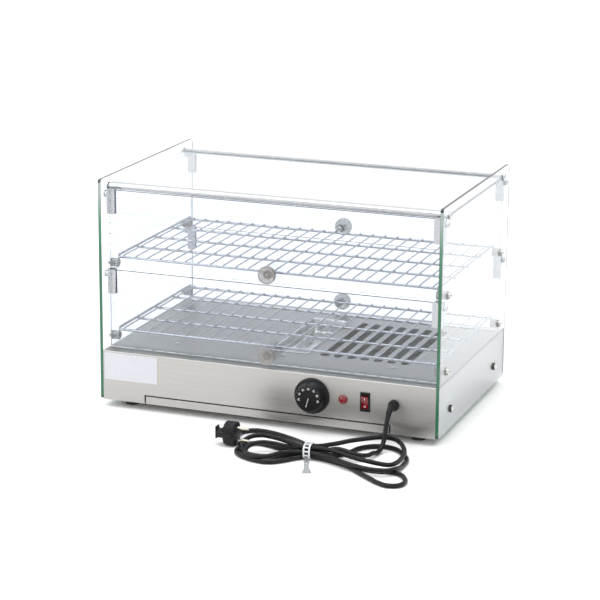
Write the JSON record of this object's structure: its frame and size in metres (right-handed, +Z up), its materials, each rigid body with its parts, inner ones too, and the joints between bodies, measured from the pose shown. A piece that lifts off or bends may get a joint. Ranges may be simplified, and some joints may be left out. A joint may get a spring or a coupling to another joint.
{
  "type": "hot food display case",
  "caption": "Counter-top glass warming display case with two wire racks, lift-up doors front and back, a heated steel base with thermostat and a corded plug.",
  "frame": {"origin": "on the counter, under the middle of the case's bounding box, in which the thermostat knob is counted and the loose cord is not", "axes": "+Z up, +X to the right of someone facing the controls, -Y towards that person; the doors' hinges run along X"},
  "size_m": [0.5665, 0.5615, 0.3635],
  "materials": {
    "stainless_steel": "brushed",
    "galvanised_steel": "dull galvanised",
    "steel_fasteners": "bright zinc",
    "dark_washers": "matte",
    "toughened_glass": "clear with green edges",
    "rail_aluminium": "polished",
    "clip_metal": "satin",
    "chromed_wire": "bright chrome",
    "clear_plastic": "translucent moulded",
    "white_nylon": "satin",
    "foot_rubber": "matte",
    "black_plastic": "satin moulded",
    "cord_rubber": "satin",
    "red_plastic": "glossy translucent",
    "thermostat_metal": "plated",
    "copper": "drawn copper",
    "heater_steel": "dark heat-stained sheath",
    "terminal_ceramic": "white ceramic",
    "label_paper": "blank white",
    "nickel_pins": "nickel plated"
  },
  "bodies": {
    "case": {"base_cover": "stainless_steel", "side_plates": "stainless_steel", "bottom_plate": "stainless_steel", "feet": "foot_rubber", "foot_screws": "steel_fasteners", "bottom_screws": "steel_fasteners", "deck_screws": "steel_fasteners", "glass_side_left": "toughened_glass", "glass_side_right": "toughened_glass", "glass_screws": "steel_fasteners", "glass_washers": "dark_washers", "glass_top": "toughened_glass", "rail_front": "rail_aluminium", "rail_back": "rail_aluminium", "rail_screws": "rail_aluminium", "rack_studs": "clear_plastic", "stud_bolts": "steel_fasteners", "hinge_bushes": "white_nylon", "heater_tray": "galvanised_steel", "heating_element": "heater_steel", "element_clamps": "galvanised_steel", "thermostat_body": "thermostat_metal", "thermostat_bulb": "copper", "pilot_lamp": "red_plastic", "switch_housing": "black_plastic", "terminal_block": "terminal_ceramic", "label_plate": "label_paper", "cable_gland": "black_plastic", "power_cord": "cord_rubber", "cord_hank": "cord_rubber", "cable_tie": "white_nylon", "plug_body": "black_plastic", "plug_pins": "nickel_pins"},
    "door_front_upper": {"door_front_upper": "toughened_glass", "clips_front_upper": "clip_metal", "pins_front_upper": "steel_fasteners", "knob_front_upper": "clear_plastic", "bolt_front_upper": "steel_fasteners"},
    "door_front_lower": {"door_front_lower": "toughened_glass", "clips_front_lower": "clip_metal", "pins_front_lower": "steel_fasteners", "knob_front_lower": "clear_plastic", "bolt_front_lower": "steel_fasteners"},
    "door_back_upper": {"door_back_upper": "toughened_glass", "clips_back_upper": "clip_metal", "pins_back_upper": "steel_fasteners", "knob_back_upper": "clear_plastic", "bolt_back_upper": "steel_fasteners"},
    "door_back_lower": {"door_back_lower": "toughened_glass", "clips_back_lower": "clip_metal", "pins_back_lower": "steel_fasteners", "knob_back_lower": "clear_plastic", "bolt_back_lower": "steel_fasteners"},
    "rack_upper": {"rack_upper": "chromed_wire"},
    "rack_lower": {"rack_lower": "chromed_wire"},
    "water_pan": {"water_pan": "stainless_steel"},
    "thermostat_knob": {"thermostat_knob": "black_plastic", "thermostat_shaft": "steel_fasteners"},
    "switch_rocker": {"switch_rocker": "red_plastic"}
  },
  "joints": [
    {"name": "front_upper_door_hinge", "type": "hinge", "parent": "case", "child": "door_front_upper", "pos_m": [0, -0.14975, 0.3375], "axis": [-1, 0, 0], "range_deg": [0, 90]},
    {"name": "front_lower_door_hinge", "type": "hinge", "parent": "case", "child": "door_front_lower", "pos_m": [0, -0.14975, 0.2105], "axis": [-1, 0, 0], "range_deg": [0, 90]},
    {"name": "back_upper_door_hinge", "type": "hinge", "parent": "case", "child": "door_back_upper", "pos_m": [0, 0.16725, 0.3375], "axis": [1, 0, 0], "range_deg": [0, 90]},
    {"name": "back_lower_door_hinge", "type": "hinge", "parent": "case", "child": "door_back_lower", "pos_m": [0, 0.16725, 0.2105], "axis": [1, 0, 0], "range_deg": [0, 90]},
    {"name": "upper_rack_lift", "type": "slide", "parent": "case", "child": "rack_upper", "axis": [0, 0, 1], "range_m": [0, 0.012]},
    {"name": "lower_rack_lift", "type": "slide", "parent": "case", "child": "rack_lower", "axis": [0, 0, 1], "range_m": [0, 0.012]},
    {"name": "water_pan_lift", "type": "slide", "parent": "case", "child": "water_pan", "axis": [0, 0, 1], "range_m": [0, 0.018]},
    {"name": "thermostat_turn", "type": "hinge", "parent": "case", "child": "thermostat_knob", "pos_m": [0.0762, -0.18125, 0.0575], "axis": [0, 1, 0], "range_deg": [0, 250]},
    {"name": "switch_rock", "type": "hinge", "parent": "case", "child": "switch_rocker", "pos_m": [0.1613, -0.17075, 0.0575], "axis": [-1, 0, 0], "range_deg": [0, 18]}
  ]
}
